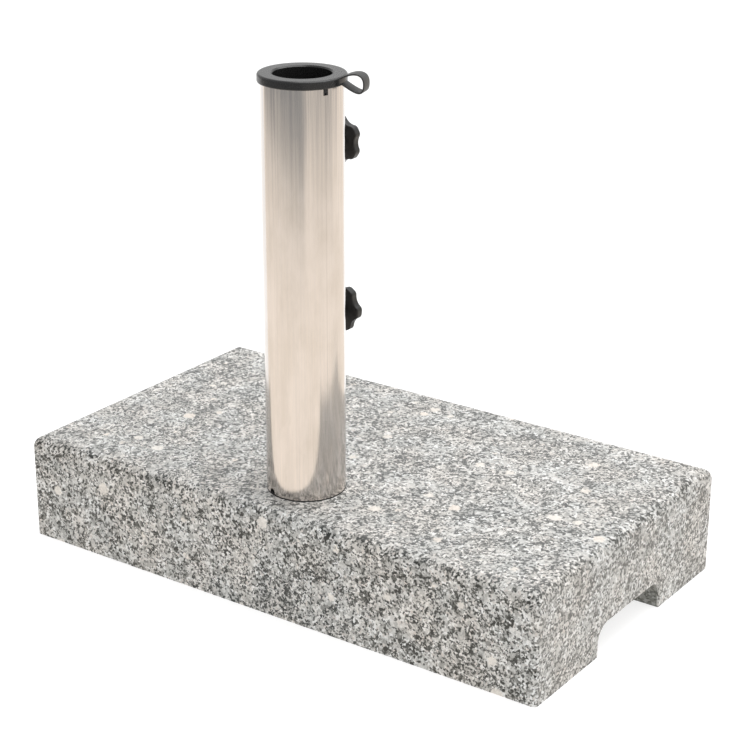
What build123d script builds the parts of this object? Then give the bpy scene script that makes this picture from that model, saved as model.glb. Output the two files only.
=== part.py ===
from build123d import *
import os
from math import cos, radians, sin, sqrt

# Parasol base: a granite slab that carries a steel tube, into which the parasol's pole goes.
#
# Millimetres. X runs along the slab's long side, Y along its short side, and Z is up. The origin is the
# centre of the slab's underside. The tube stands near the front edge (-Y), and its two clamping knobs are
# behind it (+Y). Angles round the tube are measured from +X towards +Y, as seen from above.

# Slab
slab_length = 450.0
slab_width = 250.0
slab_height = 82.0
slab_top_round = 8.5
slab_corner_round = 3.0
grip_width = 89.5
grip_shift = 1.8  # of the grips' middle, towards the free half of the slab
grip_height = 23.0
grip_depth = 50.0
grip_round = 13.0

# Tube
tube_front_distance = 50.0  # from the slab's front face to the tube's axis
tube_radius = 28.5
tube_wall = 1.5
tube_length = 295.0
gasket_thickness = 1.0
gasket_inner_radius = 20.0
notch_angle = 249.0
notch_width = 5.7
notch_height = 3.7
notch_round = 2.7

# Foot: a disc welded into the tube, and the bolt that pulls it down on the slab
disc_lift = 6.0  # above the tube's lower end, so that rain runs out through the notch
disc_thickness = 5.0
disc_hole_radius = 5.5
drain_radius = 3.0
drain_place_radius = 17.0
drain_count = 3
bolt_radius = 5.0
bolt_length = 85.0
bolt_end_chamfer = 1.0
bolt_head_flats = 16.0
bolt_head_height = 6.4
foot_nut_flats = 16.0
foot_nut_height = 8.4
washer_radius = 15.0
washer_thickness = 2.5
spring_washer_radius = 9.0
spring_washer_thickness = 2.2
spring_washer_gap = 2.0
stone_under_tube = 57.0  # stone that the bolt clamps, above the counterbore
counterbore_gap = 2.0  # round the washer
slab_hole_gap = 1.0  # round the bolt, in the stone
washer_hole_gap = 0.25  # round the bolt, in the washers

# Sleeve and reducer, one inside the other in the tube's mouth
flange_overhang = 1.95
flange_thickness = 3.0
flange_edge_round = 1.6
flange_lower_round = 0.8  # on the sleeve's flange, at its lower edge
sleeve_length = 36.0
sleeve_wall = 2.45
reducer_length = 26.0
reducer_wall = 3.85
mouth_chamfer = 1.0
push_fit_gap = 0.25  # round the sleeve and round the reducer
key_angle = 340.0
key_width = 3.0
key_length = 4.2
key_gap = 0.3  # round the key, in the tube's slot
key_prong_gap = 1.0
key_prong_length = 1.4

# Strap: a band that loops from the reducer's flange back to the sleeve's
strap_angle = 15.0
strap_width = 10.6
strap_thickness = 1.1
strap_reach = 15.2  # from the flange's edge to the loop's outermost point
strap_root = 1.0  # how far in the band's ends start, before they are trimmed to the flanges
strap_gap = 0.3  # between the strap and the reducer, which lifts off
strap_upper_root_height = 4.9  # this and the next three are above the tube's upper end
strap_outermost_height = 1.6
strap_lower_root_height = 1.5
strap_rise = 11.2  # height towards which the band climbs from its outermost point
strap_fall = 8.6  # depth below the tube's end towards which it drops from there
strap_upper_lead = (4.6, 8.3)  # from the flange's edge: the direction in which the upper end leaves
strap_lower_lead = (6.8, -2.9)  # the same for the lower end

# Clamping knobs
knob_angle = 90.0
upper_knob_drop = 48.7  # from the tube's upper end to the knob's axis
lower_knob_drop = 171.2
upper_lobe_angle = 31.2
lower_lobe_angle = 5.4
upper_knob_inset = 0.8  # how far the screw stands turned in at rest
lower_knob_inset = 0.0
knob_radius = 17.6
knob_valley_radius = 14.9
lobe_count = 6
scallop_radius = 9.0
lobe_round = 3.5
knob_thickness = 6.4
knob_front_round = 1.6
knob_back_round = 0.8
boss_radius = 11.0
boss_height = 5.0
boss_taper = 8.0
boss_round = 1.4
stud_radius = 4.0
stud_hold = 9.0  # length of stud inside the knob
stud_end_chamfer = 0.6
stud_wall_gap = 0.8  # round the stud, in the tube's wall
thread_gap = 0.05  # round a thread, in its nut
knob_nut_flats = 13.0
knob_nut_height = 6.5
clamp_travel = 3.5  # from rest inwards, on to the pole
knob_stop_gap = 0.3  # left between knob and nut at the end of that travel
tip_radius = 3.0
tip_thickness = 2.0
tip_spigot_radius = 1.5
tip_spigot_length = 4.5
tip_spigot_gap = 0.05
tip_bore_gap = 0.3  # past the spigot's end, in the stud
tip_pole_gap = 1.0  # between the tips at rest and the reducer's bore

# Places that follow from the sizes above
tube_y = tube_front_distance - slab_width / 2
tube_inner_radius = tube_radius - tube_wall
tube_foot = slab_height + gasket_thickness
tube_top = tube_foot + tube_length
disc_bottom = tube_foot + disc_lift
disc_top = disc_bottom + disc_thickness
counterbore_top = slab_height - stone_under_tube
sleeve_radius = tube_inner_radius - push_fit_gap
sleeve_bore_radius = sleeve_radius - sleeve_wall
reducer_radius = sleeve_bore_radius - push_fit_gap
reducer_bore_radius = reducer_radius - reducer_wall
flange_radius = tube_radius + flange_overhang
past_wall = tube_radius + tube_wall  # from the axis to clear of the tube, for cuts through its wall
reducer_seat = tube_top + flange_thickness
tip_distance = reducer_bore_radius + tip_pole_gap
stud_start = tip_distance + tip_thickness
nut_end = tube_radius + knob_nut_height
knob_back = nut_end + clamp_travel + knob_stop_gap
stud_length = knob_back + stud_hold - stud_start


def tube_level(height):
    """Horizontal plane at this height, centred on the tube's axis."""
    return Plane((0, tube_y, height))


def facing(angle, height):
    """Upright plane through the tube's axis whose normal points outwards at this angle."""
    outwards = (cos(radians(angle)), sin(radians(angle)), 0)
    along = (-sin(radians(angle)), cos(radians(angle)), 0)
    return Plane((0, tube_y, height), x_dir=along, z_dir=outwards)


def hexagon_solid(plane, flats, height, hole_radius=0.0):
    """Hexagonal nut or bolt head on a plane, with its corners turned off at both ends."""
    corner_radius = flats / sqrt(3)
    with BuildPart() as hexagon:
        with BuildSketch(plane):
            Circle(corner_radius)
        extrude(amount=height)
        ends = hexagon.edges().filter_by(GeomType.CIRCLE)
        chamfer(ends, length=(corner_radius - flats / 2) / 2, length2=corner_radius - flats / 2)
        with BuildSketch(plane):
            RegularPolygon(flats / 2, 6, major_radius=False)
        extrude(amount=height, mode=Mode.INTERSECT)
        if hole_radius:
            with BuildSketch(plane):
                Circle(hole_radius)
            extrude(amount=height, mode=Mode.SUBTRACT)
    return hexagon.part


def save(part, name):
    """Labels a finished piece and writes it under its own name."""
    part.label = name
    export_step(part, f"parts/{name}.step")


os.makedirs("parts", exist_ok=True)

# Granite slab: rounded along its top edges, with a finger grip under each short end and a counterbored
# hole for the bolt that comes up into the tube.
with BuildPart() as granite_slab:
    with BuildSketch(Plane.XY):
        Rectangle(slab_length, slab_width)
    extrude(amount=slab_height)
    fillet(granite_slab.faces().sort_by(Axis.Z)[-1].edges(), slab_top_round)
    fillet(granite_slab.edges().filter_by(Axis.Z), slab_corner_round)
    for side in (-1, 1):
        end_face = Plane((side * slab_length / 2, grip_shift, 0), x_dir=(0, side, 0), z_dir=(side, 0, 0))
        with BuildSketch(end_face):
            RectangleRounded(grip_width, 2 * grip_height, grip_round)
        extrude(amount=-grip_depth, mode=Mode.SUBTRACT)
    with BuildSketch(tube_level(0)):
        Circle(bolt_radius + slab_hole_gap)
    extrude(amount=slab_height, mode=Mode.SUBTRACT)
    with BuildSketch(tube_level(0)):
        Circle(washer_radius + counterbore_gap)
    extrude(amount=counterbore_top, mode=Mode.SUBTRACT)
save(granite_slab.part, "granite_slab")

# Rubber ring between the tube's foot and the stone
with BuildPart() as foot_gasket:
    with BuildSketch(tube_level(slab_height)):
        Circle(tube_radius)
        Circle(gasket_inner_radius, mode=Mode.SUBTRACT)
    extrude(amount=gasket_thickness)
save(foot_gasket.part, "foot_gasket")

# Tube, with a drain notch at its foot, a slot for the sleeve's key at its top, and two holes for the studs
stud_heights = {"upper": tube_top - upper_knob_drop, "lower": tube_top - lower_knob_drop}
with BuildPart() as tube:
    with BuildSketch(tube_level(tube_foot)):
        Circle(tube_radius)
        Circle(tube_inner_radius, mode=Mode.SUBTRACT)
    extrude(amount=tube_length)
    with BuildSketch(facing(notch_angle, tube_foot)):
        RectangleRounded(notch_width, 2 * notch_height, notch_round)
    extrude(amount=past_wall, mode=Mode.SUBTRACT)
    with BuildSketch(facing(key_angle, tube_top)):
        Rectangle(key_width + 2 * key_gap, 2 * (key_length + key_gap))
    extrude(amount=past_wall, mode=Mode.SUBTRACT)
    for height in stud_heights.values():
        with BuildSketch(facing(knob_angle, height)):
            Circle(stud_radius + stud_wall_gap)
        extrude(amount=past_wall, mode=Mode.SUBTRACT)
save(tube.part, "tube")

# Disc welded into the tube's foot, with drain holes round the bolt
with BuildPart() as foot_disc:
    with BuildSketch(tube_level(disc_bottom)):
        Circle(tube_inner_radius)
        Circle(disc_hole_radius, mode=Mode.SUBTRACT)
        with PolarLocations(drain_place_radius, drain_count):
            Circle(drain_radius, mode=Mode.SUBTRACT)
    extrude(amount=disc_thickness)
save(foot_disc.part, "foot_disc")

foot_nut = hexagon_solid(tube_level(disc_top), foot_nut_flats, foot_nut_height, bolt_radius + thread_gap)
save(foot_nut, "foot_nut")

# Washers in the counterbore, under the stone
washer_bottom = counterbore_top - washer_thickness
with BuildPart() as base_washer:
    with BuildSketch(tube_level(washer_bottom)):
        Circle(washer_radius)
        Circle(bolt_radius + washer_hole_gap, mode=Mode.SUBTRACT)
    extrude(amount=washer_thickness)
save(base_washer.part, "base_washer")

bolt_seat = washer_bottom - spring_washer_thickness
with BuildPart() as spring_washer:
    with BuildSketch(tube_level(bolt_seat)):
        Circle(spring_washer_radius)
        Circle(bolt_radius + washer_hole_gap, mode=Mode.SUBTRACT)
    extrude(amount=spring_washer_thickness)
    with BuildSketch(facing(0, bolt_seat)):
        Rectangle(spring_washer_gap, 2 * spring_washer_thickness)
    extrude(amount=2 * spring_washer_radius, mode=Mode.SUBTRACT)
save(spring_washer.part, "spring_washer")

# Bolt from below, through the slab and the disc into the foot nut
bolt_head = hexagon_solid(tube_level(bolt_seat - bolt_head_height), bolt_head_flats, bolt_head_height)
with BuildPart() as base_bolt:
    with BuildSketch(tube_level(bolt_seat)):
        Circle(bolt_radius)
    extrude(amount=bolt_length)
    chamfer(base_bolt.edges().sort_by(Axis.Z)[-1], bolt_end_chamfer)
    add(bolt_head)
save(base_bolt.part, "base_bolt")

# Sleeve that lines the tube's mouth. Its flange sits on the tube's end, and its forked key is in the slot.
with BuildPart() as sleeve:
    with BuildSketch(tube_level(tube_top)):
        Circle(flange_radius)
    extrude(amount=flange_thickness)
    fillet(sleeve.edges().sort_by(Axis.Z)[0], flange_lower_round)
    with BuildSketch(tube_level(tube_top)):
        Circle(sleeve_radius)
    extrude(amount=-sleeve_length)
    with BuildSketch(facing(key_angle, tube_top)):
        with Locations((0, -key_length / 2)):
            Rectangle(key_width, key_length)
        with Locations((0, -key_length)):
            Rectangle(key_prong_gap, 2 * key_prong_length, mode=Mode.SUBTRACT)
    extrude(amount=tube_radius)
    with BuildSketch(tube_level(tube_top + flange_thickness)):
        Circle(sleeve_bore_radius)
    extrude(amount=-flange_thickness - sleeve_length, mode=Mode.SUBTRACT)
save(sleeve.part, "sleeve")

# Reducer inside the sleeve, for a thinner pole
with BuildPart() as reducer:
    with BuildSketch(tube_level(reducer_seat)):
        Circle(flange_radius)
    extrude(amount=flange_thickness)
    fillet(reducer.edges().sort_by(Axis.Z)[-1], flange_edge_round)
    with BuildSketch(tube_level(reducer_seat)):
        Circle(reducer_radius)
    extrude(amount=-reducer_length)
    with BuildSketch(tube_level(reducer_seat + flange_thickness)):
        Circle(reducer_bore_radius)
    extrude(amount=-flange_thickness - reducer_length, mode=Mode.SUBTRACT)
    bore_edges = reducer.faces().filter_by(GeomType.CYLINDER).sort_by(SortBy.RADIUS)[0].edges()
    chamfer(bore_edges.filter_by(GeomType.CIRCLE).sort_by(Axis.Z)[-1], mouth_chamfer)
save(reducer.part, "reducer")

# Strap: two curves in the upright plane through the tube's axis, which meet at the loop's outermost point.
# Its lower end is trimmed to the sleeve's flange, and its upper end stays just clear of the reducer's.
outwards = (cos(radians(strap_angle)), sin(radians(strap_angle)), 0)
across = (sin(radians(strap_angle)), -cos(radians(strap_angle)), 0)
with BuildPart() as strap:
    with BuildSketch(Plane((0, tube_y, tube_top), x_dir=outwards, z_dir=across)):
        with BuildLine():
            loop_end = flange_radius + strap_reach
            upper_root = (flange_radius - strap_root, strap_upper_root_height)
            upper_lead = (flange_radius + strap_upper_lead[0], strap_upper_lead[1])
            outermost = (loop_end, strap_outermost_height)
            lower_lead = (flange_radius + strap_lower_lead[0], strap_lower_lead[1])
            lower_root = (flange_radius - strap_root, strap_lower_root_height)
            Bezier(upper_root, upper_lead, (loop_end, strap_rise), outermost)
            Bezier(outermost, (loop_end, -strap_fall), lower_lead, lower_root)
        trace(line_width=strap_thickness)
    extrude(amount=strap_width / 2, both=True)
    with BuildSketch(tube_level(reducer_seat)):
        Circle(flange_radius)
    extrude(amount=-2 * flange_thickness, mode=Mode.SUBTRACT)
    with BuildSketch(tube_level(reducer_seat)):
        Circle(flange_radius + strap_gap)
    extrude(amount=2 * flange_thickness, mode=Mode.SUBTRACT)
save(strap.part, "strap")

# The two clamping screws, alike but for their height and for how far their knobs are turned
lobe_angles = {"upper": upper_lobe_angle, "lower": lower_lobe_angle}
insets = {"upper": upper_knob_inset, "lower": lower_knob_inset}
for name, height in stud_heights.items():
    nut_plane = facing(knob_angle, height)
    screw_plane = nut_plane.offset(-insets[name])

    # Nut welded on the tube's back, shaped to the tube
    with BuildPart() as knob_nut:
        add(hexagon_solid(nut_plane.offset(tube_inner_radius), knob_nut_flats, nut_end - tube_inner_radius,
                          stud_radius + thread_gap))
        with BuildSketch(tube_level(height - knob_nut_flats)):
            Circle(tube_radius)
        extrude(amount=2 * knob_nut_flats, mode=Mode.SUBTRACT)
    save(knob_nut.part, f"{name}_nut")

    # Threaded stud, bored at its inner end for the tip
    with BuildPart() as stud:
        with BuildSketch(screw_plane.offset(stud_start)):
            Circle(stud_radius)
        extrude(amount=stud_length)
        chamfer(stud.edges().sort_by(Axis.Y)[0], stud_end_chamfer)
        with BuildSketch(screw_plane.offset(stud_start)):
            Circle(tip_spigot_radius + tip_spigot_gap)
        extrude(amount=tip_spigot_length + tip_bore_gap, mode=Mode.SUBTRACT)
    save(stud.part, f"{name}_stud")

    # Pressure tip, which stays still on the pole while the stud turns
    with BuildPart() as tip:
        with BuildSketch(screw_plane.offset(tip_distance)):
            Circle(tip_radius)
        extrude(amount=tip_thickness)
        with BuildSketch(screw_plane.offset(stud_start)):
            Circle(tip_spigot_radius)
        extrude(amount=tip_spigot_length)
    save(tip.part, f"{name}_tip")

    # Star knob, moulded on the stud
    with BuildPart() as knob:
        with BuildSketch(screw_plane.offset(knob_back)) as outline:
            Circle(knob_radius)
            valley_angle = lobe_angles[name] + 180 / lobe_count
            with PolarLocations(knob_valley_radius + scallop_radius, lobe_count, start_angle=valley_angle):
                Circle(scallop_radius, mode=Mode.SUBTRACT)
            fillet(outline.vertices(), lobe_round)
        extrude(amount=knob_thickness)
        fillet(knob.faces().sort_by(Axis.Y)[-1].edges(), knob_front_round)
        fillet(knob.faces().sort_by(Axis.Y)[0].edges(), knob_back_round)
        with BuildSketch(screw_plane.offset(knob_back + knob_thickness)):
            Circle(boss_radius)
        extrude(amount=boss_height, taper=boss_taper)
        fillet(knob.edges().sort_by(Axis.Y)[-1], boss_round)
        with BuildSketch(screw_plane.offset(knob_back)):
            Circle(stud_radius)
        extrude(amount=stud_hold, mode=Mode.SUBTRACT)
    save(knob.part, f"{name}_knob")
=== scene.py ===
import bpy
import math
import numpy as np
from mathutils import Matrix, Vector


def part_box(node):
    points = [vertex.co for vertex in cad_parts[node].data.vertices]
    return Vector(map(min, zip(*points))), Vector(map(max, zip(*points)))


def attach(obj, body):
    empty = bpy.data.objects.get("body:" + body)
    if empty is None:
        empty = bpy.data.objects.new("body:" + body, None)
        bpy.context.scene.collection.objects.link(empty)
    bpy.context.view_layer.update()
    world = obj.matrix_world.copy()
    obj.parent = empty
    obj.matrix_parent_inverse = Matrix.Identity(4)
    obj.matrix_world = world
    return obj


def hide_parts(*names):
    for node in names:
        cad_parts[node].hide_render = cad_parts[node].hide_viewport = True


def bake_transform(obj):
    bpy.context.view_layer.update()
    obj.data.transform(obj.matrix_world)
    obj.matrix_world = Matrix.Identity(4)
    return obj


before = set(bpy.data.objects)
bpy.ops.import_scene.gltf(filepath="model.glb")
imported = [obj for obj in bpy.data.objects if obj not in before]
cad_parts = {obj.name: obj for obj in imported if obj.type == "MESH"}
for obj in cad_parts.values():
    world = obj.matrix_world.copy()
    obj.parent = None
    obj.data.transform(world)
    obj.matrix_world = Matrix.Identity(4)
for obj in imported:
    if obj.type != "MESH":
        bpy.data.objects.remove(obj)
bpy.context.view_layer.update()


# Granite slab: one sawn block of light grey granite, honed on top and at its sides, with its top edges
# rounded by hand. The stone is a tight mass of pale feldspar, grey quartz and black mica a millimetre or
# two across, with clouds of more or less mica, and larger cream feldspar crystals here and there.
def add(tree, kind, inputs, **settings):
    """Adds a shader node. An input given as a socket is linked, and any other value is set."""
    node = tree.nodes.new("ShaderNode" + kind)
    for name, value in settings.items():
        setattr(node, name, value)
    for name, value in inputs.items():
        if isinstance(value, bpy.types.NodeSocket):
            tree.links.new(value, node.inputs[name])
        else:
            node.inputs[name].default_value = value
    return node


def mix(tree, share, first, second, blend="MIX"):
    """Colour of first where share is 0 and of second where it is 1."""
    node = add(tree, "Mix", {0: share, 6: first, 7: second}, data_type="RGBA", blend_type=blend)
    return node.outputs[2]


def math_node(tree, operation, first, second=0.0, third=0.0):
    """Result of an arithmetic operation on up to three values."""
    return add(tree, "Math", {0: first, 1: second, 2: third}, operation=operation).outputs[0]


def ramp(tree, value, stops, interpolation="LINEAR"):
    """Colour that a value picks from stops, a list of (position, grey or (red, green, blue))."""
    node = add(tree, "ValToRGB", {"Fac": value})
    node.color_ramp.interpolation = interpolation
    elements = node.color_ramp.elements
    while len(elements) < len(stops):
        elements.new(0.5)
    for element, (position, colour) in zip(elements, stops):
        element.position = position
        red, green, blue = colour if isinstance(colour, tuple) else (colour,) * 3
        element.color = (red, green, blue, 1)
    return node.outputs["Color"]


def new_material(name, **shader_values):
    """A material with one Principled shader, and its node tree, shader and object coordinates."""
    material = bpy.data.materials.new(name)
    material.use_nodes = True
    tree = material.node_tree
    shader = tree.nodes["Principled BSDF"]
    for key, value in shader_values.items():
        shader.inputs[key.replace("_", " ").capitalize()].default_value = value
    where = add(tree, "TexCoord", {}).outputs["Object"]
    return material, tree, shader, where


def paint(material, *names):
    """Gives CAD nodes this material."""
    for name in names:
        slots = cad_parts[name].data.materials
        slots.clear()
        slots.append(material)


granite, tree, shader, where = new_material("granite")
wobble = add(tree, "TexNoise", {"Vector": where, "Scale": 520, "Detail": 2})
shift = add(tree, "VectorMath", {0: wobble.outputs["Color"], 1: (0.5, 0.5, 0.5)}, operation="SUBTRACT")
shift = add(tree, "VectorMath", {0: shift.outputs[0], "Scale": 0.0022}, operation="SCALE")
bent = add(tree, "VectorMath", {0: where, 1: shift.outputs[0]}, operation="ADD").outputs[0]

clouds = add(tree, "TexNoise", {"Vector": where, "Scale": 70, "Detail": 2}).outputs["Fac"]
grains = add(tree, "TexVoronoi", {"Vector": bent, "Scale": 560})
grain_pick = add(tree, "SeparateColor", {"Color": grains.outputs["Color"]}).outputs[0]
grain_pick = math_node(tree, "ADD", grain_pick, math_node(tree, "MULTIPLY", clouds, 0.9))
stone = ramp(tree, math_node(tree, "SUBTRACT", grain_pick, 0.45), [
    (0.00, (0.028, 0.030, 0.026)), (0.14, (0.11, 0.111, 0.10)), (0.26, (0.28, 0.275, 0.255)),
    (0.43, (0.50, 0.49, 0.465)), (0.60, (0.70, 0.685, 0.655)), (0.78, (0.70, 0.65, 0.605)),
    (0.85, (0.90, 0.885, 0.86))], "CONSTANT")
patches = add(tree, "TexVoronoi", {"Vector": bent, "Scale": 250})
patch_colour = add(tree, "SeparateColor", {"Color": patches.outputs["Color"]})
patch_share = ramp(tree, patch_colour.outputs[1], [(0.0, 0.0), (0.72, 0.6)], "CONSTANT")
patch_tone = ramp(tree, patch_colour.outputs[2], [(0.0, (0.52, 0.51, 0.48)), (1.0, (0.88, 0.85, 0.805))])
stone = mix(tree, patch_share, stone, patch_tone)
clusters = add(tree, "TexNoise", {"Vector": where, "Scale": 32, "Detail": 1}).outputs["Fac"]
flakes = add(tree, "TexVoronoi", {"Vector": bent, "Scale": 800})
flake_pick = add(tree, "SeparateColor", {"Color": flakes.outputs["Color"]}).outputs[2]
flake_pick = math_node(tree, "ADD", flake_pick, math_node(tree, "MULTIPLY", clusters, 0.5))
flake_pick = math_node(tree, "SUBTRACT", flake_pick, 0.25)
flake_share = ramp(tree, flake_pick, [(0.0, 0.0), (0.82, 0.9)], "CONSTANT")
stone = mix(tree, flake_share, stone, (0.040, 0.043, 0.038, 1))
mottle = add(tree, "TexNoise", {"Vector": where, "Scale": 1700, "Detail": 3}).outputs["Fac"]
stone = mix(tree, 1.0, stone, ramp(tree, mottle, [(0.3, 0.77), (0.66, 1.0)]), "MULTIPLY")
warmth = add(tree, "TexNoise", {"Vector": where, "Scale": 34, "Detail": 2}).outputs["Fac"]
tint = ramp(tree, warmth, [(0.38, (0.965, 0.985, 1.0)), (0.62, (1.0, 0.982, 0.968))])
stone = mix(tree, 1.0, stone, tint, "MULTIPLY")

# Cream crystals, from two millimetres to a centimetre across, with ragged outlines
ragged = add(tree, "VectorMath", {0: shift.outputs[0], "Scale": 2.6}, operation="SCALE").outputs[0]
ragged = add(tree, "VectorMath", {0: where, 1: ragged}, operation="ADD").outputs[0]
crystals = add(tree, "TexVoronoi", {"Vector": ragged, "Scale": 46})
crystal_pick = add(tree, "SeparateColor", {"Color": crystals.outputs["Color"]})
crystal_size = ramp(tree, crystal_pick.outputs[0], [(0.25, 0.04), (1.0, 0.27)])
crystal_edge = math_node(tree, "SUBTRACT", crystal_size, crystals.outputs["Distance"])
crystal_share = ramp(tree, math_node(tree, "MULTIPLY", crystal_edge, 18), [(0.0, 0.0), (1.0, 0.8)])
crystal_tone = ramp(tree, crystal_pick.outputs[1], [(0.0, (0.86, 0.82, 0.76)), (1.0, (0.84, 0.75, 0.66))])
stone = mix(tree, crystal_share, stone, crystal_tone)

# Painted light and painted shade by facing: faces turned up are veiled pale grey, and the end faces are
# greyed
facing = add(tree, "SeparateXYZ", {0: add(tree, "NewGeometry", {}).outputs["Normal"]})
# Painted light: faces turned up are mixed up to 9 % towards pale grey
stone = mix(tree, ramp(tree, facing.outputs[2], [(0.6, 0.0), (0.98, 0.09)]), stone, (0.72, 0.73, 0.74, 1))
endwise = math_node(tree, "ABSOLUTE", facing.outputs[0])
# Painted shade: end faces are mixed up to 18 % towards dark grey
stone = mix(tree, ramp(tree, endwise, [(0.6, 0.0), (0.98, 0.18)]), stone, (0.38, 0.372, 0.36, 1))

# Painted shade: inside the grips the stone is darkened towards near-black
slab_half_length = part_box("granite_slab")[1][0]
grip_depth, grip_height, grip_half_width, end_skin = 0.051, 0.0245, 0.048, 0.0012
place = add(tree, "SeparateXYZ", {0: where})
from_end = math_node(tree, "SUBTRACT", slab_half_length, math_node(tree, "ABSOLUTE", place.outputs[0]))
grip_shade_mask = math_node(tree, "LESS_THAN", from_end, grip_depth)
for more in (math_node(tree, "GREATER_THAN", from_end, end_skin),
             math_node(tree, "COMPARE", place.outputs[1], 0.0, grip_half_width),
             math_node(tree, "LESS_THAN", place.outputs[2], grip_height)):
    grip_shade_mask = math_node(tree, "MULTIPLY", grip_shade_mask, more)
# Painted shade in the grip recesses, mixed 72 % towards near-black
stone = mix(tree, math_node(tree, "MULTIPLY", grip_shade_mask, 0.72), stone, (0.10, 0.105, 0.092, 1))
tree.links.new(stone, shader.inputs["Base Color"])
tree.links.new(ramp(tree, grain_pick, [(0.4, 0.30), (1.2, 0.52)]), shader.inputs["Roughness"])
relief = add(tree, "Bump", {"Height": grain_pick, "Strength": 0.25, "Distance": 0.0002})
tree.links.new(relief.outputs["Normal"], shader.inputs["Normal"])
paint(granite, "granite_slab")


# Tube: stainless steel, 57 mm across with a 1.5 mm wall, polished as it turned in a lathe. The polishing
# marks run round it, so what it mirrors is smeared up and down, and fine streaks show along it. It is
# darker towards the foot, and the seam where the strip was welded shows as a thin line below the sleeve's
# key.
tube_low, tube_high = np.array(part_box("tube"))
tube_x, tube_y, _ = (tube_low + tube_high) / 2
tube_radius = (tube_high[0] - tube_low[0]) / 2
seam_angle = math.radians(340)
seam_half_width = 0.0003

steel, tree, shader, where = new_material("polished_steel", metallic=1.0, roughness=0.12, anisotropic=0.9)
upright = add(tree, "CombineXYZ", {"Z": 1.0})
tree.links.new(upright.outputs[0], shader.inputs["Tangent"])
drawn = add(tree, "Mapping", {"Vector": where, "Scale": (1, 1, 0.012)}).outputs[0]
streaks = add(tree, "TexNoise", {"Vector": drawn, "Scale": 800, "Detail": 5, "Roughness": 0.65})
streaks = streaks.outputs["Fac"]
streak_colour = ramp(tree, streaks, [(0.32, (0.56, 0.53, 0.52)), (0.5, (0.75, 0.70, 0.66)),
                                     (0.68, (0.90, 0.83, 0.76))])
height = add(tree, "SeparateXYZ", {0: where}).outputs[2]
height_share = math_node(tree, "DIVIDE", height, tube_high[2])
worn = ramp(tree, height_share, [(0.22, 0.30), (0.36, 0.15), (0.74, 0.10), (0.90, 0.55), (0.98, 0.9)])
foot_darkening = ramp(tree, height_share, [(0.34, 0.14), (0.50, 0.0)])
hazy = add(tree, "Mapping", {"Vector": where, "Scale": (1, 1, 0.35)}).outputs[0]
haze = add(tree, "TexNoise", {"Vector": hazy, "Scale": 75, "Detail": 4, "Roughness": 0.6}).outputs["Fac"]
steel_colour = ramp(tree, haze, [(0.35, (0.705, 0.655, 0.61)), (0.62, (0.775, 0.725, 0.69))])
steel_colour = mix(tree, worn, steel_colour, streak_colour)
# Darker towards the foot: the lower third is mixed 14 % towards near-black, fading out by half the height
steel_colour = mix(tree, foot_darkening, steel_colour, (0.10, 0.09, 0.085, 1))
tree.links.new(ramp(tree, haze, [(0.35, 0.145), (0.65, 0.105)]), shader.inputs["Roughness"])
seam_side = (-math.sin(seam_angle), math.cos(seam_angle), 0)
seam_way = (math.cos(seam_angle), math.sin(seam_angle), 0)
from_axis = add(tree, "VectorMath", {0: where, 1: (tube_x, tube_y, 0)}, operation="SUBTRACT").outputs[0]
aside = add(tree, "VectorMath", {0: from_axis, 1: seam_side}, operation="DOT_PRODUCT").outputs["Value"]
outward = add(tree, "VectorMath", {0: from_axis, 1: seam_way}, operation="DOT_PRODUCT").outputs["Value"]
aside = math_node(tree, "ABSOLUTE", aside)
near_seam = math_node(tree, "LESS_THAN", aside, seam_half_width)
near_seam = math_node(tree, "MULTIPLY", near_seam, math_node(tree, "GREATER_THAN", outward, 0.0))
steel_colour = mix(tree, math_node(tree, "MULTIPLY", near_seam, 0.14), steel_colour, (0.30, 0.27, 0.25, 1))
tree.links.new(steel_colour, shader.inputs["Base Color"])
relief = add(tree, "Bump", {"Height": streaks, "Strength": 0.10, "Distance": 0.0001})
tree.links.new(relief.outputs["Normal"], shader.inputs["Normal"])
paint(steel, "tube")


# Foot fixings: zinc-plated disc, nuts, washers, bolt and studs, and the thin near-black ring under the
# tube.
zinc, tree, shader, where = new_material("zinc_steel", metallic=1.0, roughness=0.3)
spangle = add(tree, "TexNoise", {"Vector": where, "Scale": 300, "Detail": 4})
tree.links.new(ramp(tree, spangle.outputs["Fac"], [(0.3, (0.50, 0.51, 0.52)), (0.7, (0.66, 0.67, 0.67))]),
               shader.inputs["Base Color"])
tree.links.new(ramp(tree, spangle.outputs["Fac"], [(0.3, 0.24), (0.7, 0.42)]), shader.inputs["Roughness"])
paint(zinc, "foot_disc", "foot_nut", "base_bolt", "base_washer", "spring_washer",
      "upper_nut", "lower_nut")

# A thin near-black ring under the tube's foot, which draws a dark line where the tube meets the stone
rubber, tree, shader, where = new_material("gasket_rubber", roughness=0.75)
dust = add(tree, "TexNoise", {"Vector": where, "Scale": 900, "Detail": 3})
tree.links.new(ramp(tree, dust.outputs["Fac"], [(0.35, 0.015), (0.75, 0.045)]), shader.inputs["Base Color"])
paint(rubber, "foot_gasket")


# Sleeve and reducer: two rings moulded in black polyethylene, satin, with a faint orange-peel texture.
def moulded(name, low_tone, high_tone, low_rough, high_rough, grain):
    """Moulded plastic: its tone, its gloss and its fine relief all follow one noise of this grain."""
    material, tree, shader, where = new_material(name)
    peel = add(tree, "TexNoise", {"Vector": where, "Scale": grain, "Detail": 3}).outputs["Fac"]
    tree.links.new(ramp(tree, peel, [(0.3, low_tone), (0.7, high_tone)]), shader.inputs["Base Color"])
    tree.links.new(ramp(tree, peel, [(0.3, low_rough), (0.7, high_rough)]), shader.inputs["Roughness"])
    relief = add(tree, "Bump", {"Height": peel, "Strength": 0.15, "Distance": 0.0001})
    tree.links.new(relief.outputs["Normal"], shader.inputs["Normal"])
    return material


paint(moulded("black_plastic", 0.010, 0.020, 0.18, 0.34, 1500), "sleeve", "reducer")
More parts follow.
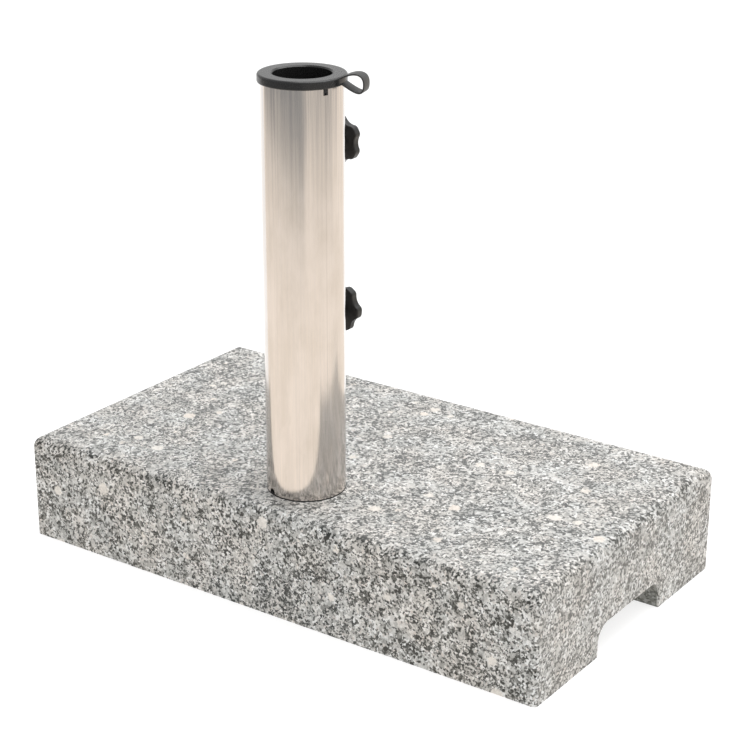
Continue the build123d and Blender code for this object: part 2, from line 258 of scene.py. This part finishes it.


# Strap: one band of soft dark grey plastic, moulded with the two rings. It leaves the reducer's rim, loops
# outwards and returns to the sleeve's. When the reducer comes out, its upper half goes with it and the
# lower half stays.
def skin(name, rings, material, closed_path=False):
    """Closed skin over rings, an array (ring, point, xyz): quads join each ring to the next, and a fan to
    the ring's middle closes each end, unless the last ring joins the first. Faces are turned outwards where
    the sum of corner . (corner x corner), six times the volume, comes out negative."""
    rings = np.asarray(rings, dtype=float)
    count, size, _ = rings.shape
    bands = count if closed_path else count - 1
    ring, point = np.meshgrid(np.arange(bands), np.arange(size), indexing="ij")
    following, beside = (ring + 1) % count, (point + 1) % size
    quads = np.stack([ring * size + point, ring * size + beside,
                      following * size + beside, following * size + point], axis=-1).reshape(-1, 4)
    vertices = rings.reshape(-1, 3)
    corners = vertices[quads]
    inward = np.einsum("ij,ij->", corners[:, 0], np.cross(corners[:, 1], corners[:, 2])
                       + np.cross(corners[:, 2], corners[:, 3])) < 0
    faces = quads.tolist()
    if not closed_path:
        vertices = np.vstack([vertices, rings[0].mean(axis=0), rings[-1].mean(axis=0)])
        edge = np.arange(size)
        first = np.stack([(edge + 1) % size, edge, np.full(size, count * size)], axis=-1)
        last = np.stack([edge, (edge + 1) % size, np.full(size, count * size + 1)], axis=-1)
        last[:, :2] += (count - 1) * size
        faces += first.tolist() + last.tolist()
    if inward:
        faces = [face[::-1] for face in faces]
    mesh = bpy.data.meshes.new(name)
    mesh.from_pydata(vertices.tolist(), [], faces)
    mesh.shade_smooth()
    mesh.set_sharp_from_angle(angle=math.radians(40))
    mesh.materials.append(material)
    piece = bpy.data.objects.new(name, mesh)
    bpy.context.scene.collection.objects.link(piece)
    return piece


flange_low, flange_high = np.array(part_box("reducer"))
flange_radius = (flange_high[0] - flange_low[0]) / 2
tube_end = tube_high[2]
strap_angle = math.radians(15)
strap_half_width, strap_half_thickness, strap_edge_round = 0.0053, 0.00055, 0.0004
strap_out = np.array([math.cos(strap_angle), math.sin(strap_angle), 0])
strap_across = np.array([math.sin(strap_angle), -math.cos(strap_angle), 0])
strap_origin = np.array([tube_x, tube_y, tube_end]) + flange_radius * strap_out


def band(name, material, knots, steps=40):
    """A band with rounded edges, carried along the cubic Bezier of four (outwards, up) points. Each ring is
    the section's width across the curve and its thickness along the curve's own normal."""
    share = np.linspace(0, 1, steps)[:, None]
    weights = np.hstack([(1 - share)**3, 3 * share * (1 - share)**2, 3 * share**2 * (1 - share), share**3])
    path = weights @ np.array(knots)
    slope = np.gradient(path, axis=0)
    slope /= np.linalg.norm(slope, axis=1)[:, None]
    corner = np.radians(np.linspace(0, 90, 5)[None, :] + 90 * np.arange(4)[:, None])
    turn_across = np.sign(np.cos(corner[:, 2]))[:, None]
    turn_thick = np.sign(np.sin(corner[:, 2]))[:, None]
    across = turn_across * (strap_half_width - strap_edge_round) + strap_edge_round * np.cos(corner)
    thick = turn_thick * (strap_half_thickness - strap_edge_round) + strap_edge_round * np.sin(corner)
    across, thick = across.reshape(1, -1), thick.reshape(1, -1)
    outwards = path[:, :1] - slope[:, 1:] * thick
    upwards = path[:, 1:] + slope[:, :1] * thick
    rings = (strap_origin + outwards[..., None] * strap_out + across[..., None] * strap_across
             + upwards[..., None] * np.array([0, 0, 1]))
    return skin(name, rings, material)


strap_plastic = moulded("strap_plastic", 0.020, 0.034, 0.34, 0.5, 1200)
outermost = (0.0152, 0.0016)
upper_knots = [(-0.001, 0.0049), (0.0046, 0.0083), (0.0152, 0.0112), outermost]
lower_knots = [outermost, (0.0152, -0.0086), (0.0068, -0.0029), (-0.001, 0.0015)]
upper_band = band("strap_upper", strap_plastic, upper_knots)
lower_band = band("strap_lower", strap_plastic, lower_knots)
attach(upper_band, "reducer")
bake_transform(lower_band)
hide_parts("strap")
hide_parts("strap")


# Clamping screws: M8 studs with rolled threads, moulded into star knobs of matt black nylon. Each stud has
# a natural nylon tip that presses on the pole, and turns in a nut welded on the back of the tube.
def stud(name, source, pitch=0.00125, thread_depth=0.00068):
    """A stud between the ends of its CAD solid: its radius falls from the crest by the thread's depth times
    a clipped triangle wave of (distance / pitch - angle / full turn), and its inner end is bored."""
    low, high = np.array(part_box(source))
    radius, middle_x, middle_z = (high[0] - low[0]) / 2, (high[0] + low[0]) / 2, (high[2] + low[2]) / 2
    bore_radius, bore_depth, chamfer = 0.00155, 0.0048, 0.0006
    rings_per_turn, sides = 10, 40
    length = high[1] - low[1]
    turns = np.linspace(chamfer, length - chamfer, int(rings_per_turn * length / pitch))
    along = np.concatenate([[bore_depth, bore_depth, 0, 0], turns, [length, length]])
    core = radius - thread_depth
    crest = np.concatenate([[bore_radius / 2, bore_radius, bore_radius, core],
                            np.full(turns.size, radius), [core, core / 2]])
    cut = np.concatenate([np.zeros(4), np.full(turns.size, thread_depth), np.zeros(2)])
    angle = np.linspace(0, 2 * np.pi, sides, endpoint=False)
    phase = np.mod(along[:, None] / pitch - angle[None, :] / (2 * np.pi), 1)
    groove = np.clip(1.3 * np.abs(2 * phase - 1) - 0.15, 0, 1)
    across = crest[:, None] - cut[:, None] * groove
    rings = np.stack([middle_x + across * np.cos(angle), low[1] + along[:, None] + 0 * across,
                      middle_z + across * np.sin(angle)], axis=-1)
    piece = skin(name, rings, zinc)
    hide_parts(source)
    return piece


def weld_bead(name, nut):
    """A bead round the nut's foot: a circle of varying radius carried round the hexagon's outline, which
    lies on the tube. The outline's distance from the middle is the flat's over cos(angle from the flat)."""
    bead_radius, off_nut = 0.00095, 0.0002
    low, high = np.array(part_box(nut))
    middle_z, flat = (low[2] + high[2]) / 2, (high[2] - low[2]) / 2
    angle = np.linspace(0, 2 * np.pi, 192, endpoint=False)
    reach = (flat + off_nut) / np.cos(np.mod(angle, np.pi / 3) - np.pi / 6)
    aside, up = reach * np.cos(angle), reach * np.sin(angle)
    back = np.sqrt(tube_radius**2 - aside**2)
    middle = np.stack([tube_x + aside, tube_y + back, middle_z + up], axis=-1)
    away = np.stack([np.cos(angle), 0 * angle, np.sin(angle)], axis=-1)
    off_tube = np.stack([aside, back, 0 * angle], axis=-1) / tube_radius
    swell = bead_radius * (1 + 0.13 * np.abs(np.sin(17 * angle)) + 0.06 * np.sin(3 * angle + 1))
    round_bead = np.linspace(0, 2 * np.pi, 12, endpoint=False)[None, :, None]
    section = np.cos(round_bead) * away[:, None] + np.sin(round_bead) * off_tube[:, None]
    rings = middle[:, None] + swell[:, None, None] * section
    bead = skin(name, rings, weld_steel, closed_path=True)
    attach(bead, "base")


weld_steel, tree, shader, where = new_material("weld_steel", metallic=1.0, roughness=0.38)
heat = add(tree, "TexNoise", {"Vector": where, "Scale": 260, "Detail": 3}).outputs["Fac"]
heat_colour = ramp(tree, heat, [(0.3, (0.30, 0.25, 0.20)), (0.5, (0.48, 0.46, 0.44)),
                                (0.7, (0.62, 0.61, 0.59))])
tree.links.new(heat_colour, shader.inputs["Base Color"])
tree.links.new(ramp(tree, heat, [(0.3, 0.55), (0.7, 0.3)]), shader.inputs["Roughness"])
for side in ("upper", "lower"):
    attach(stud(f"{side}_threaded_stud", f"{side}_stud"), f"{side}_screw")
    weld_bead(f"{side}_nut_weld", f"{side}_nut")
paint(moulded("knob_plastic", 0.005, 0.012, 0.28, 0.44, 1100), "upper_knob", "lower_knob")

nylon, tree, shader, where = new_material("tip_nylon", roughness=0.45)
cast = add(tree, "TexNoise", {"Vector": where, "Scale": 700, "Detail": 3})
tree.links.new(ramp(tree, cast.outputs["Fac"], [(0.3, (0.66, 0.64, 0.58)), (0.7, (0.76, 0.75, 0.70))]),
               shader.inputs["Base Color"])
paint(nylon, "upper_tip", "lower_tip")


# Studio: a white floor that runs far past the object, a broad soft light overhead, and a pale sky that is
# brightest behind the object. A curved screen stands round its front and glows, though it is no lamp: cream
# below, painted light, and grey above, painted shade. Only glossy rays meet the screen, so it shows in the
# polished tube and hardly anywhere else.
def stage_sheet(name, rows, material):
    """An open sheet over a grid of points, an array (row, column, xyz)."""
    height, width, _ = rows.shape
    row, column = np.meshgrid(np.arange(height - 1), np.arange(width - 1), indexing="ij")
    corner = row * width + column
    faces = np.stack([corner, corner + 1, corner + width + 1, corner + width], axis=-1).reshape(-1, 4)
    mesh = bpy.data.meshes.new(name)
    mesh.from_pydata(rows.reshape(-1, 3).tolist(), [], faces.tolist())
    mesh.materials.append(material)
    sheet = bpy.data.objects.new(name, mesh)
    bpy.context.scene.collection.objects.link(sheet)
    return sheet


floor_reach = 60.0
white, tree, shader, where = new_material("floor", roughness=0.9)
shader.inputs["Base Color"].default_value = (0.4, 0.4, 0.4, 1)
shader.inputs["Emission Color"].default_value = (1, 1, 1, 1)
shader.inputs["Emission Strength"].default_value = 0.74
floor_x, floor_y = np.meshgrid([-floor_reach, floor_reach], [-floor_reach, floor_reach])
stage_sheet("floor", np.stack([floor_x, floor_y, 0 * floor_x], axis=-1), white)

screen_distance, screen_height, screen_gap = 0.6, 0.45, 0.001
cream, shade_tint = np.array([1.075, 0.99, 0.895]), np.array([1.06, 1.01, 0.95])
screen_bearing = np.linspace(-180, 90, 136)
screen_angle = np.radians(screen_bearing)
sheet_out = np.concatenate([np.linspace(0.1, screen_distance, 8), np.full(60, screen_distance)])
sheet_up = np.concatenate([np.zeros(8), np.linspace(0, screen_height, 60)])
darkest = np.interp(screen_bearing, [-180, -174, -56, -42, 20, 45, 87], [0, 0.6, 0.62, 0.4, 0.45, 0.2, 0])
lean = np.interp(screen_bearing, [-180, -165, -143, -53, -42], [0.065, 0.04, 0.015, -0.03, 0.007])
level = sheet_up[:, None] - lean
shade = darkest * np.interp(level, [0, 0.085, 0.146, 0.178, 0.2, 0.225], [0, 0.12, 0.3, 0.56, 0.92, 1.08])
shade = np.where(sheet_up[:, None] > 0, shade, 0)
screen_glow, tree, shader, where = new_material("screen")
tone = add(tree, "Attribute", {}, attribute_name="tone").outputs["Color"]
# The screen glows though it is no lamp: its cream tone is painted light, and its grey bands painted shade
glow = add(tree, "Emission", {"Color": tone, "Strength": 1.0})
tree.links.new(glow.outputs[0], tree.nodes["Material Output"].inputs["Surface"])
screen = stage_sheet("screen", np.stack([tube_x + sheet_out[:, None] * np.cos(screen_angle),
                                         tube_y + sheet_out[:, None] * np.sin(screen_angle),
                                         screen_gap + sheet_up[:, None] + 0 * screen_angle], axis=-1),
                     screen_glow)
tones = cream * (1 - shade[..., None] * shade_tint)
# Painted light: the flat part of the screen on the floor glows brighter near the tube
near_lift = np.where(sheet_up > 0, 1.0, np.interp(sheet_out, [0.31, 0.51], [1.14, 1.0]))
tones *= near_lift[:, None, None]
tones = np.concatenate([tones, np.ones_like(tones[..., :1])], axis=-1)
attribute = screen.data.color_attributes.new("tone", "FLOAT_COLOR", "POINT")
attribute.data.foreach_set("color", tones.astype(np.float32).ravel())
screen.visible_camera = screen.visible_diffuse = screen.visible_shadow = False

world = bpy.data.worlds.new("studio")
bpy.context.scene.world = world
world.use_nodes = True
sky = world.node_tree
far_side, sky_middle, sky_swing = (0.17, 0.98, 0.0), 0.74, 0.26
way = add(sky, "TexCoord", {}).outputs["Generated"]
behind = add(sky, "VectorMath", {0: way, 1: far_side}, operation="DOT_PRODUCT").outputs["Value"]
sky.nodes["Background"].inputs["Color"].default_value = (1, 1, 1, 1)
sky_glow = math_node(sky, "ADD", math_node(sky, "MULTIPLY", behind, sky_swing), sky_middle)
sky.links.new(sky_glow, sky.nodes["Background"].inputs["Strength"])

light = bpy.data.lights.new("overhead", "AREA")
light.size, light.energy = 1.6, 23
lamp = bpy.data.objects.new("overhead", light)
lamp.location = (0.38, 0.32, 1.8)
lamp.rotation_euler = (-lamp.location).to_track_quat("-Z", "Y").to_euler()
bpy.context.scene.collection.objects.link(lamp)

camera = bpy.data.cameras.new("camera")
camera.lens = 93.84
camera_object = bpy.data.objects.new("camera", camera)
camera_object.location = (0.7852, -1.1022, 0.6739)
heading, tilt, roll = math.radians(35.14), math.radians(90 - 21.47), math.radians(0.2)
turn = Matrix.Rotation(heading, 3, "Z") @ Matrix.Rotation(tilt, 3, "X") @ Matrix.Rotation(roll, 3, "Z")
camera_object.rotation_euler = turn.to_euler()
bpy.context.scene.collection.objects.link(camera_object)
bpy.context.scene.camera = camera_object
bpy.context.scene.view_settings.view_transform = "Standard"
